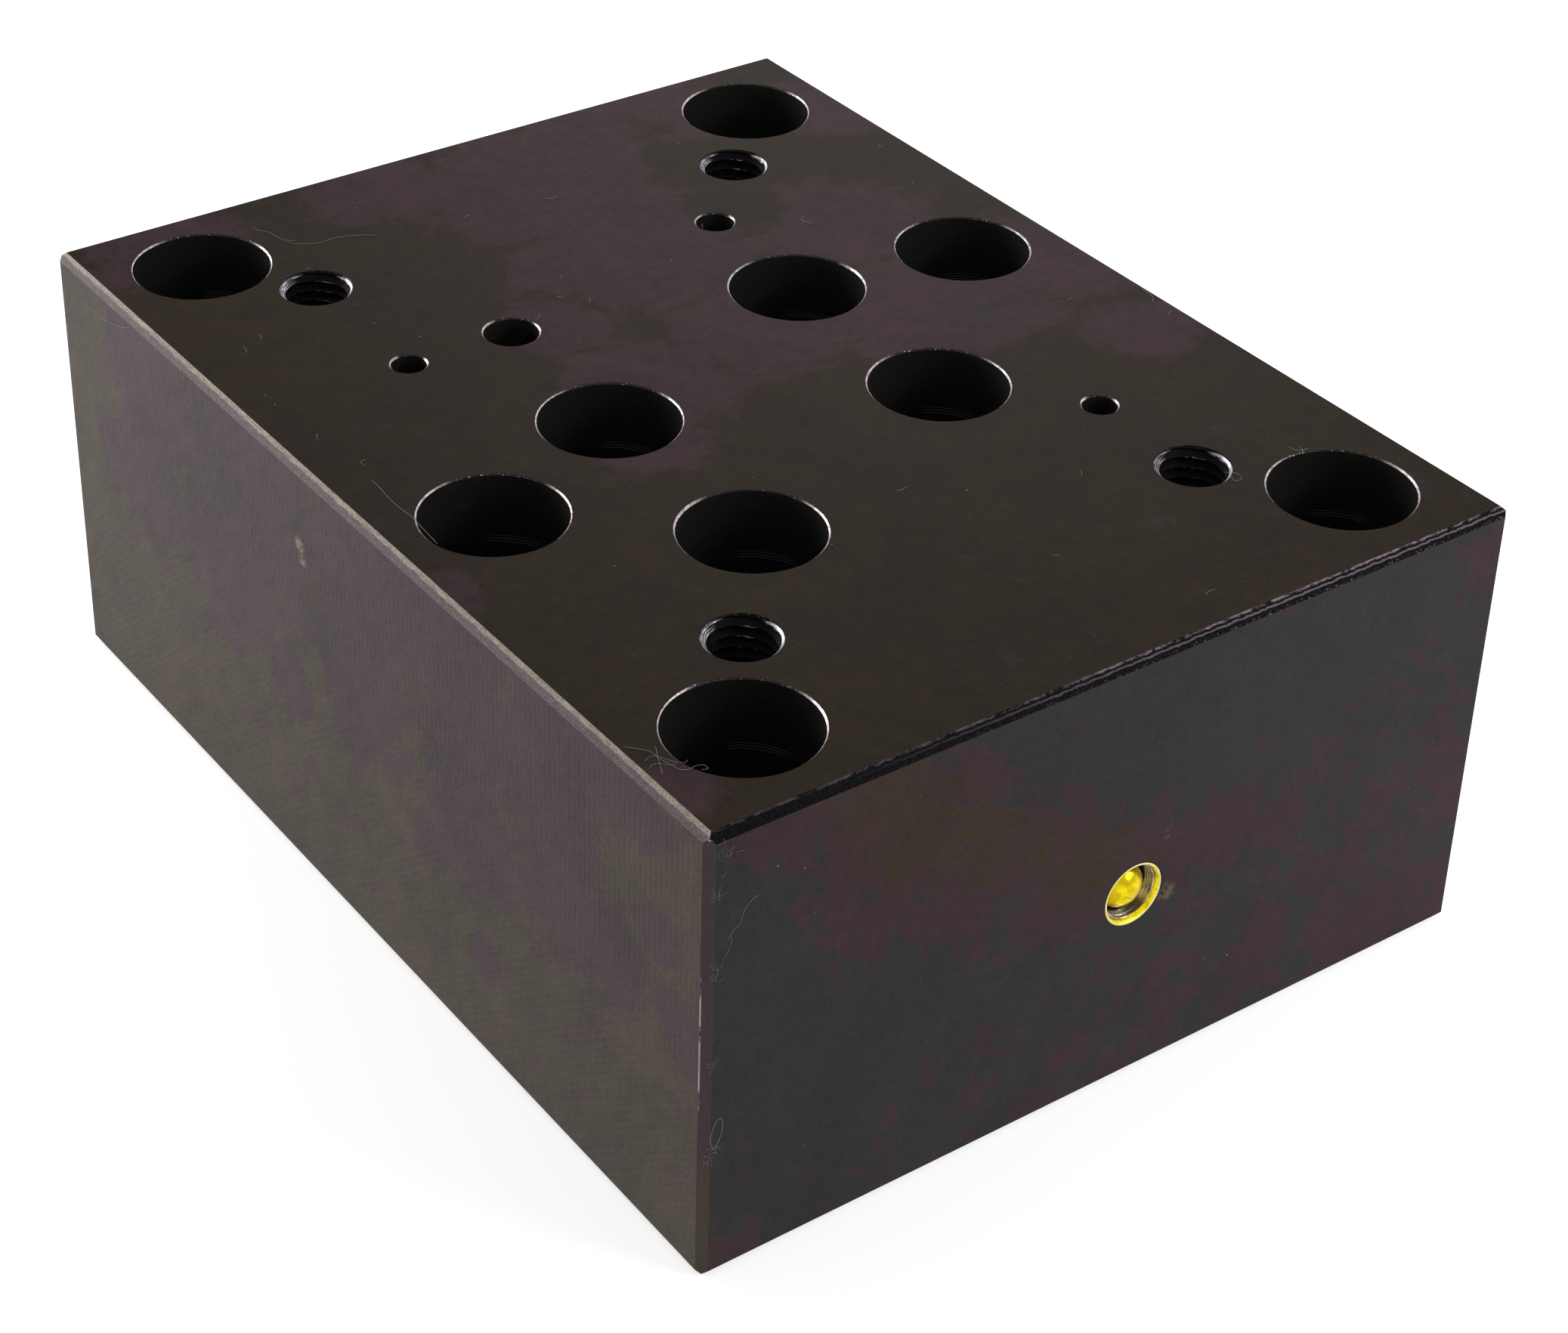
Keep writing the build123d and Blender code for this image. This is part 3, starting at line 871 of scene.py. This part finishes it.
def dressed_plug():
    """The pressed-in cup with its rounded lip, and the ball that spreads it."""
    low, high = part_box("gallery_plug_sleeve")
    centre = (low + high) / 2
    mouth = Vector((centre.x, low.y, centre.z))
    radius = (high.x - low.x) / 2
    length = high.y - low.y
    ball_low, ball_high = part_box("gallery_plug_ball")
    ball_radius = (ball_high.x - ball_low.x) / 2
    seat = ball_radius + BALL_CLEARANCE
    into_block = Matrix.Rotation(math.radians(-90), 4, "X")
    pale, silver, dark, band = 0, 1, 2, 3
    mouth_mm = tuple(c / MM for c in mouth)
    profile = [
        (0.0, length, silver), (radius, length, silver), (radius, 0.12 * MM, pale),
        (radius - 0.05 * MM, 0.03 * MM, pale), (radius - 0.12 * MM, 0.0, pale),
        (radius - 0.24 * MM, 0.0, pale),
        (radius - 0.36 * MM, 0.06 * MM, pale), (radius - 0.58 * MM, 0.4 * MM, band),
        (radius - 0.66 * MM, 0.66 * MM, band), (radius - 0.74 * MM, 0.72 * MM, silver),
        (radius - 0.78 * MM, 1.2 * MM, silver), (radius - 0.83 * MM, 1.24 * MM, silver),
        (radius - 0.92 * MM, 2.0 * MM, silver), (radius - 1.0 * MM, 2.1 * MM, dark), (seat, 3.5 * MM, dark),
        (seat, length - PLUG_FLOOR, dark), (0.0, length - PLUG_FLOOR, dark),
    ]
    finishes = [
        plug_finish("plug_lip", (232, 226, 160), PLUG_PALE_YELLOW, 0.34, 0.6),
        plug_wall_finish(mouth_mm),
        # Painted shade: the crevice between the cup's wall and the ball is near black.
        plug_finish("plug_crevice_painted_shade", (16, 14, 12), BORE_SHADED_BLACK, 0.6, 0.0),
        plug_finish("plug_inner_cone", (244, 222, 20), (204, 182, 6), 0.3, 0.8),
    ]
    turned("plug_cup", profile, mouth, into_block, 128, finishes, "gallery_plug_sleeve")
    ball_centre = (ball_low + ball_high) / 2
    steps = 40
    ball = [
        (ball_radius * math.sin(math.pi * k / steps), -ball_radius * math.cos(math.pi * k / steps), 0)
        for k in range(steps + 1)
    ]
    yellow = plug_ball_finish(tuple(c / MM for c in ball_centre))
    turned("plug_ball", ball, ball_centre, into_block, 96, [yellow], "gallery_plug_ball")


def dressed_rings():
    """The six O-rings, squeezed between the faces."""
    rubber = rubber_finish()
    steps = 28
    for name in sorted(n for n in frame["nodes"] if n.startswith("o_ring_")):
        low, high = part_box(name)
        centre = Vector(((low.x + high.x) / 2, (low.y + high.y) / 2, low.z))
        outer_radius = (high.x - low.x) / 2
        half_height = (high.z - low.z) / 2
        middle_radius = outer_radius - RING_HALF_SECTION
        profile = []
        for k in range(steps + 1):
            angle = 2 * math.pi * k / steps
            across = math.copysign(abs(math.cos(angle)) ** 0.75, math.cos(angle)) * RING_HALF_WIDTH
            up = math.copysign(abs(math.sin(angle)) ** 0.6, math.sin(angle)) * half_height
            profile.append((middle_radius + across, half_height + up, 0))
        turned(f"seal_{name}", profile, centre, Matrix.Identity(4), 112, [rubber], name)


def fibre(bm, points, radius):
    """A thin hair along points, four sided."""
    rings = []
    for i, point in enumerate(points):
        ahead = points[min(i + 1, len(points) - 1)] - points[max(i - 1, 0)]
        along = ahead.normalized()
        side = along.cross(Vector((0.3, 0.2, 1.0))).normalized()
        up = side.cross(along)
        size = radius * (0.5 if i in (0, len(points) - 1) else 1.0)
        corners = (side, up, -side, -up)
        rings.append([bm.verts.new(point + corner * size) for corner in corners])
    for first, second in zip(rings, rings[1:]):
        for k in range(4):
            bm.faces.new((first[k], first[(k + 1) % 4], second[(k + 1) % 4], second[k]))
    for ring in (rings[0], rings[-1]):
        bm.faces.new(ring)


def wavy(places, chance):
    """Points along a smooth line through some places, with a little shake."""
    points = []
    ends = [places[0], *places, places[-1]]
    for a, b, c, d in zip(ends, ends[1:], ends[2:], ends[3:]):
        for k in range(4):
            t = k / 4
            point = 2 * b + (c - a) * t + (2 * a - 5 * b + 4 * c - d) * t**2
            point = (point + (3 * b - a - 3 * c + d) * t**3) / 2
            points.append(point + Vector([chance.uniform(-1, 1) for _ in range(3)]) * 0.008 * MM)
    points.append(places[-1])
    return points


def curled(start, end, bend, steps, chance, shake):
    """Points from start to end that bow by a vector and shake a little."""
    points = []
    for k in range(steps + 1):
        t = k / steps
        point = start.lerp(end, t) + bend * (4 * t * (1 - t))
        jitter = Vector([chance.uniform(-1, 1) for _ in range(3)]) * shake
        points.append(point + jitter)
    return points


# Hairs lying on a face, each as its places on the face and its radius
TOP_HAIRS = [
    ([(-54.7, 3), (-54.6, 2), (-54.9, -1.2), (-55, -4), (-54.8, -7), (-55, -10),
      (-55.3, -14)], 0.024),
    ([(-34.8, 71.4), (-34.4, 70), (-33.6, 69), (-33.2, 66.8), (-32.7, 65), (-31.8, 63.6),
      (-30.2, 62.6)], 0.02),
    ([(-30.2, 62.6), (-28.7, 62.2), (-26.7, 62.4), (-24, 61.6), (-21.3, 60)], 0.02),
    ([(-59.4, -61), (-58.2, -62.3), (-57.4, -63.4), (-57.3, -65), (-56.9, -66.5), (-56.5, -68),
      (-55.6, -68.5), (-54.7, -68.4), (-53.8, -68.8), (-53.9, -69.6), (-54.6, -69.3)], 0.022),
    ([(-56.4, -63), (-57, -64.2), (-57.5, -65.2), (-58, -66.4), (-58.6, -67.6)], 0.02),
    ([(-58.9, -64.6), (-58, -64.2), (-57.2, -64.6), (-56.5, -66), (-55.5, -67.2),
      (-54.8, -67)], 0.018),
    ([(-59.3, -66), (-58.2, -65.6), (-57, -66.6), (-56.2, -66.9)], 0.016),
    ([(47.4, -53.8), (47.4, -54.6), (47.9, -55.3), (49.2, -55.5)], 0.022),
    ([(48.6, -54.4), (48.3, -55.4), (47.6, -56.2)], 0.018),
    ([(58.3, -15), (59.3, -13.4), (59.5, -11.4), (60.3, -9)], 0.02),
    ([(36.2, -54), (37.3, -55), (37, -56.4), (35.9, -56.2), (36.3, -55.2)], 0.022),
]
FRONT_HAIRS = [
    ([(-59.7, 20.2), (-60, 22), (-59.2, 24.2), (-58.4, 24), (-58.5, 22), (-59.2, 20.4),
      (-59.7, 20.2)], 0.026),
    ([(-58.2, 50), (-57.4, 51.2), (-56.6, 51.6), (-56.2, 53), (-55.2, 54.2), (-54.2, 54.6)], 0.02),
    ([(-58.8, 47.6), (-58, 48.6), (-57.6, 50.2)], 0.016),
]
LEFT_HAIRS = [([(57, 63.6), (60, 62.3), (64, 61.2), (68, 60.7), (71.5, 60.9)], 0.016)]
# Tufts on the front face, each as x, z, spread and number of short curls
FLUFF = [
    (-58.4, 62.2, 0.8, 14), (-59.7, 57, 0.2, 8), (-59.6, 46, 0.4, 10), (-59.7, 20, 0.35, 14),
    (-59.8, 33, 0.2, 6), (7.4, 36.5, 0.25, 5),
]


def on_top(x, y):
    return Vector((x * MM, y * MM, TOP_Z * MM + LINT_LIFT))


def on_front(x, z):
    return Vector((x * MM, -BLOCK_LENGTH_MM / 2 * MM - LINT_LIFT, z * MM))


def on_left(y, z):
    return Vector((-BLOCK_WIDTH_MM / 2 * MM - LINT_LIFT, y * MM, z * MM))


def lint():
    """Hairs and fluff lying on the block, in the places where they lie on the real one."""
    chance = random.Random(SEED)
    bm = bmesh.new()
    for places, radius in TOP_HAIRS:
        fibre(bm, wavy([on_top(x, y) for x, y in places], chance), radius * MM)
    for places, radius in FRONT_HAIRS:
        fibre(bm, wavy([on_front(x, z) for x, z in places], chance), radius * MM)
    for places, radius in LEFT_HAIRS:
        fibre(bm, wavy([on_left(y, z) for y, z in places], chance), radius * MM)
    for x, z, spread, count in FLUFF:
        for _ in range(count):
            start = Vector((x + chance.gauss(0, spread), z + chance.gauss(0, 1.6 * spread)))
            places = [start]
            heading = chance.uniform(0, 2 * math.pi)
            for _ in range(5):
                heading += chance.uniform(-1.0, 1.0)
                places.append(places[-1] + Vector((math.cos(heading), math.sin(heading))) * 0.22)
            fibre(bm, [on_front(*p) for p in places], 0.01 * MM)
    for _ in range(LOOSE_HAIRS):
        start = on_top(chance.uniform(-58, 58), chance.uniform(-76, 76))
        if any((start.xy - Vector(place) * MM).length < HAIR_FREE * MM for place in HOLE_PLACES):
            continue
        angle = chance.uniform(0, 2 * math.pi)
        reach = chance.uniform(0.5, 1.8) * MM
        end = start + Vector((math.cos(angle), math.sin(angle), 0)) * reach
        bend = Vector((-math.sin(angle), math.cos(angle), 0.1)) * reach * chance.uniform(-0.4, 0.4)
        fibre(bm, curled(start, end, bend, 6, chance, 0.0), 0.02 * MM)
    mesh = bpy.data.meshes.new("surface_lint")
    bm.to_mesh(mesh)
    bm.free()
    mesh.materials.append(lint_finish())
    piece("surface_lint", mesh)


# Camera, light and floor


def add_camera():
    forward = (CAMERA_TARGET - CAMERA_PLACE).normalized()
    level_right = forward.cross(Vector((0, 0, 1))).normalized()
    level_up = level_right.cross(forward)
    right = level_right * math.cos(CAMERA_ROLL) + level_up * math.sin(CAMERA_ROLL)
    up = level_up * math.cos(CAMERA_ROLL) - level_right * math.sin(CAMERA_ROLL)
    data = bpy.data.cameras.new("camera")
    data.lens = CAMERA_LENS
    data.sensor_width = 36.0
    data.sensor_fit = "HORIZONTAL"
    data.shift_x, data.shift_y = CAMERA_SHIFT
    data.clip_start = 0.01
    data.clip_end = 20.0
    camera = bpy.data.objects.new("camera", data)
    turn = Matrix((right, up, -forward)).transposed().to_4x4()
    camera.matrix_world = Matrix.Translation(CAMERA_PLACE) @ turn
    bpy.context.scene.collection.objects.link(camera)
    bpy.context.scene.camera = camera


def add_lamp(name, place, target, size, watts):
    data = bpy.data.lights.new(name, "AREA")
    data.shape = "RECTANGLE"
    data.size, data.size_y = size
    data.energy = watts
    lamp = bpy.data.objects.new(name, data)
    lamp.location = place
    lamp.rotation_euler = (Vector(target) - Vector(place)).to_track_quat("-Z", "Y").to_euler()
    bpy.context.scene.collection.objects.link(lamp)


def background_rays(tree):
    """1 for the rays that look at the background: from the camera, and off or through glossy things."""
    path = tree.nodes.new("ShaderNodeLightPath")
    total = path.outputs["Is Camera Ray"]
    for kind in ("Is Glossy Ray", "Is Transmission Ray"):
        either = tree.nodes.new("ShaderNodeMath")
        either.operation = "MAXIMUM"
        tree.links.new(total, either.inputs[0])
        tree.links.new(path.outputs[kind], either.inputs[1])
        total = either.outputs[0]
    return total


def add_world(strength):
    """White where it is seen or mirrored, and a plain soft light for the rest."""
    world = bpy.data.worlds.new("studio")
    bpy.context.scene.world = world
    world.use_nodes = True
    tree = world.node_tree
    lighting = tree.nodes["Background"]
    lighting.inputs["Color"].default_value = (1, 1, 1, 1)
    lighting.inputs["Strength"].default_value = strength
    seen = tree.nodes.new("ShaderNodeBackground")
    seen.inputs["Color"].default_value = (1, 1, 1, 1)
    choose = tree.nodes.new("ShaderNodeMixShader")
    tree.links.new(background_rays(tree), choose.inputs[0])
    tree.links.new(lighting.outputs[0], choose.inputs[1])
    tree.links.new(seen.outputs[0], choose.inputs[2])
    tree.links.new(choose.outputs[0], tree.nodes["World Output"].inputs[0])


def add_floor():
    """A wide pale floor that keeps the block's shadow and otherwise shows white."""
    mesh = bpy.data.meshes.new("floor")
    corners = [(-1, -1), (1, -1), (1, 1), (-1, 1)]
    places = [(x * FLOOR_REACH, y * FLOOR_REACH, -FLOOR_GAP) for x, y in corners]
    mesh.from_pydata(places, [], [(0, 1, 2, 3)])
    floor = bpy.data.objects.new("floor", mesh)
    bpy.context.scene.collection.objects.link(floor)
    material = bpy.data.materials.new("floor")
    material.use_nodes = True
    tree = material.node_tree
    shader = tree.nodes["Principled BSDF"]
    shader.inputs["Base Color"].default_value = (FLOOR_GREY, FLOOR_GREY, FLOOR_GREY, 1)
    shader.inputs["Roughness"].default_value = 0.9
    shader.inputs["Specular IOR Level"].default_value = 0.0
    glow = tree.nodes.new("ShaderNodeEmission")
    glow.inputs["Strength"].default_value = FLOOR_GLOW
    dark = tree.nodes.new("ShaderNodeEmission")
    dark.inputs["Strength"].default_value = 0.0
    choose = tree.nodes.new("ShaderNodeMixShader")
    both = tree.nodes.new("ShaderNodeAddShader")
    tree.links.new(background_rays(tree), choose.inputs[0])
    tree.links.new(dark.outputs[0], choose.inputs[1])
    tree.links.new(glow.outputs[0], choose.inputs[2])
    tree.links.new(shader.outputs[0], both.inputs[0])
    tree.links.new(choose.outputs[0], both.inputs[1])
    tree.links.new(both.outputs[0], tree.nodes["Material Output"].inputs[0])
    mesh.materials.append(material)


def add_light():
    add_world(WORLD_STRENGTH)
    add_lamp("left_softbox", (-0.24, 0.47, 0.2), (-0.06, 0.08, 0.03), (0.3, 0.3), 1.85)
    add_lamp("back_softbox", (0.42, 0.5, 0.42), (0.02, 0.04, 0.06), (0.4, 0.4), 1.45)
    add_lamp("right_fill", (0.32, -0.46, 0.34), (0.08, -0.2, 0.0), (0.35, 0.2), 1.6)


# The scene

block_low, block_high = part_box("manifold_block")
TOP_Z = block_high.z / MM
BLOCK_WIDTH_MM = (block_high.x - block_low.x) / MM
BLOCK_LENGTH_MM = (block_high.y - block_low.y) / MM
PATTERN = {m["name"]: m for m in frame["record"]["mounts"]}
plug_low, plug_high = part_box("gallery_plug_sleeve")
PLUG_PLACE = ((plug_low.x + plug_high.x) / 2 / MM, (plug_low.z + plug_high.z) / 2 / MM)
MIDDLE_BOLT_PLACES = [(-46.05, -11.9), (46.05, 11.9)]
MAIN_PORT_PLACES = [
    tuple(c / MM for c in PATTERN[f"valve_port_{n}"]["pos_m"][:2]) for n in "ptab"
]


def pattern_places(name):
    """The four corners of a rectangular bolt pattern in the record, in millimetres."""
    pattern = PATTERN[name]
    across = pattern["dims"]["spacing_x_mm"] / 2
    along = pattern["dims"]["spacing_y_mm"] / 2
    x, y = (c / MM for c in pattern["pos_m"][:2])
    return [(x + i * across, y + j * along) for i in (-1, 1) for j in (-1, 1)]


TAPPED_PLACES = pattern_places("valve_bolts")
HOLE_PLACES = [*MAIN_PORT_PLACES, *TAPPED_PLACES, *pattern_places("subplate_bolts"), *MIDDLE_BOLT_PLACES]

FINISHES = {
    "top": top_finish(),
    "left": left_finish(),
    "front": front_finish(),
    "right": plain_side_finish("block_right_face", "y"),
    "back": plain_side_finish("block_back_face", "x"),
    "bottom": plain_side_finish("block_underside", "y"),
    "edge_top_left": worn_edge_finish(),
    "edge_top_front": front_edge_finish(),
    "edge_other": plain_edge_finish(),
    "bore": bore_finish(),
    "rim": rim_finish(),
    "thread": thread_finish(),
}

dressed_block()
dressed_plug()
dressed_rings()
lint()
add_floor()
add_light()
add_camera()

bpy.context.scene.view_settings.view_transform = "Standard"
